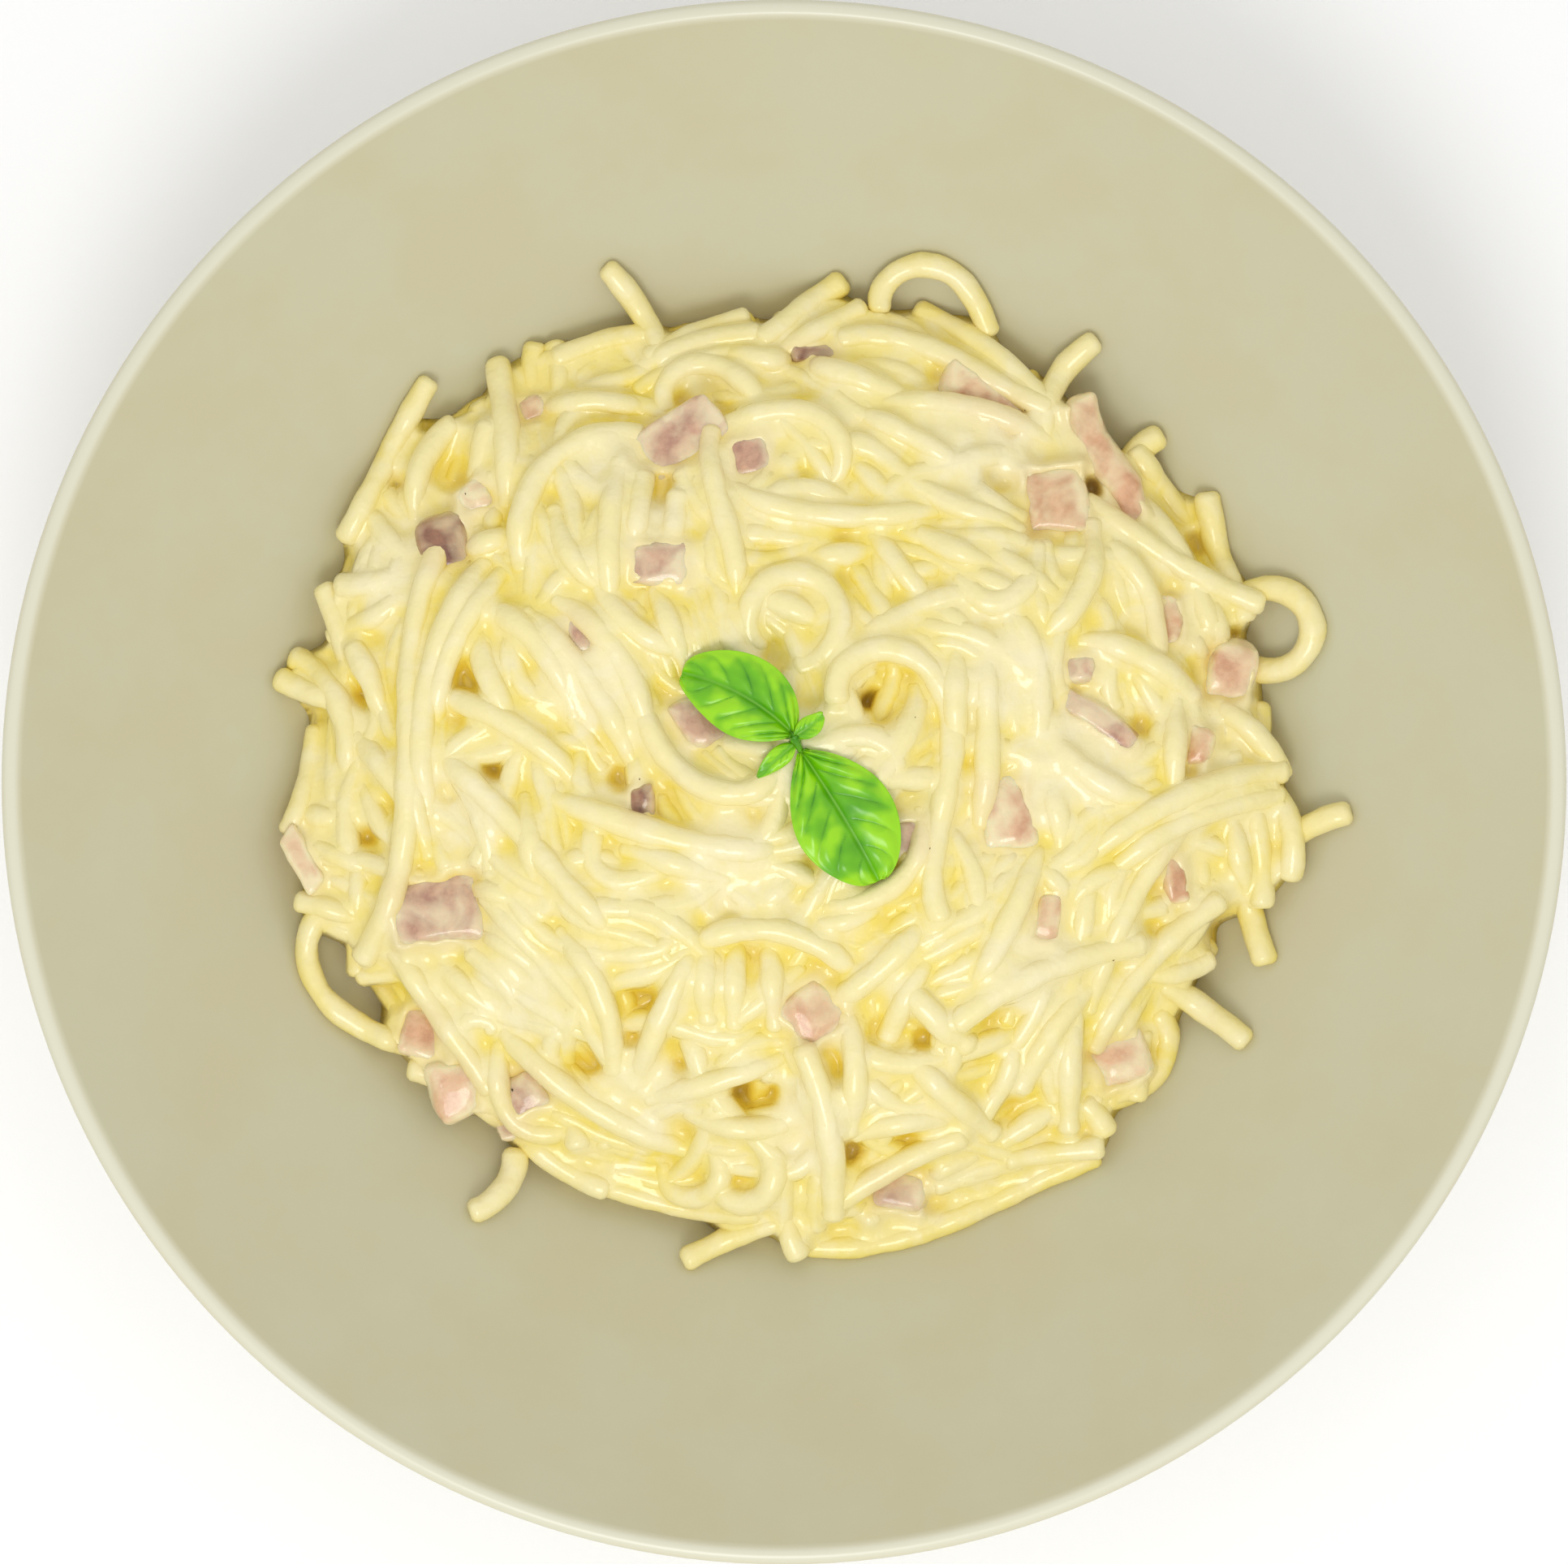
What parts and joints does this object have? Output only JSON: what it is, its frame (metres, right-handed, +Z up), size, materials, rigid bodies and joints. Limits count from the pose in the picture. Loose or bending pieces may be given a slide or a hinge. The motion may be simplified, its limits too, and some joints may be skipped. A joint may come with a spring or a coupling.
{
  "type": "plate of spaghetti carbonara",
  "caption": "Spaghetti carbonara heaped in a deep round glazed plate, with diced ham, creamy sauce and a basil sprig on top.",
  "frame": {"origin": "centre of the foot ring's underside, where the plate stands on the table", "axes": "+Z up through the middle of the plate; +Y towards the side the left basil leaf's tip points up to, +X to the right seen from above"},
  "size_m": [0.22, 0.22, 0.052],
  "materials": {
    "stoneware": "smooth cream glaze",
    "sauced_pasta": "noodles coated in a creamy egg sauce",
    "cooked_ham": "moist cut meat with a thin coat of sauce",
    "basil_leaf": "smooth waxy leaf"
  },
  "bodies": {
    "root": {"bowl": "stoneware", "spaghetti": "sauced_pasta", "ham_01": "cooked_ham", "ham_02": "cooked_ham", "ham_03": "cooked_ham", "ham_04": "cooked_ham", "ham_05": "cooked_ham", "ham_06": "cooked_ham", "ham_07": "cooked_ham", "ham_08": "cooked_ham", "ham_09": "cooked_ham", "ham_10": "cooked_ham", "ham_11": "cooked_ham", "ham_12": "cooked_ham", "ham_13": "cooked_ham", "ham_14": "cooked_ham", "ham_15": "cooked_ham", "ham_16": "cooked_ham", "ham_17": "cooked_ham", "ham_18": "cooked_ham", "ham_19": "cooked_ham", "ham_20": "cooked_ham", "ham_21": "cooked_ham", "ham_22": "cooked_ham", "ham_23": "cooked_ham", "ham_24": "cooked_ham", "ham_25": "cooked_ham", "ham_26": "cooked_ham", "ham_27": "cooked_ham", "ham_28": "cooked_ham", "ham_29": "cooked_ham", "ham_30": "cooked_ham", "ham_31": "cooked_ham", "basil_sprig": "basil_leaf"}
  },
  "joints": []
}
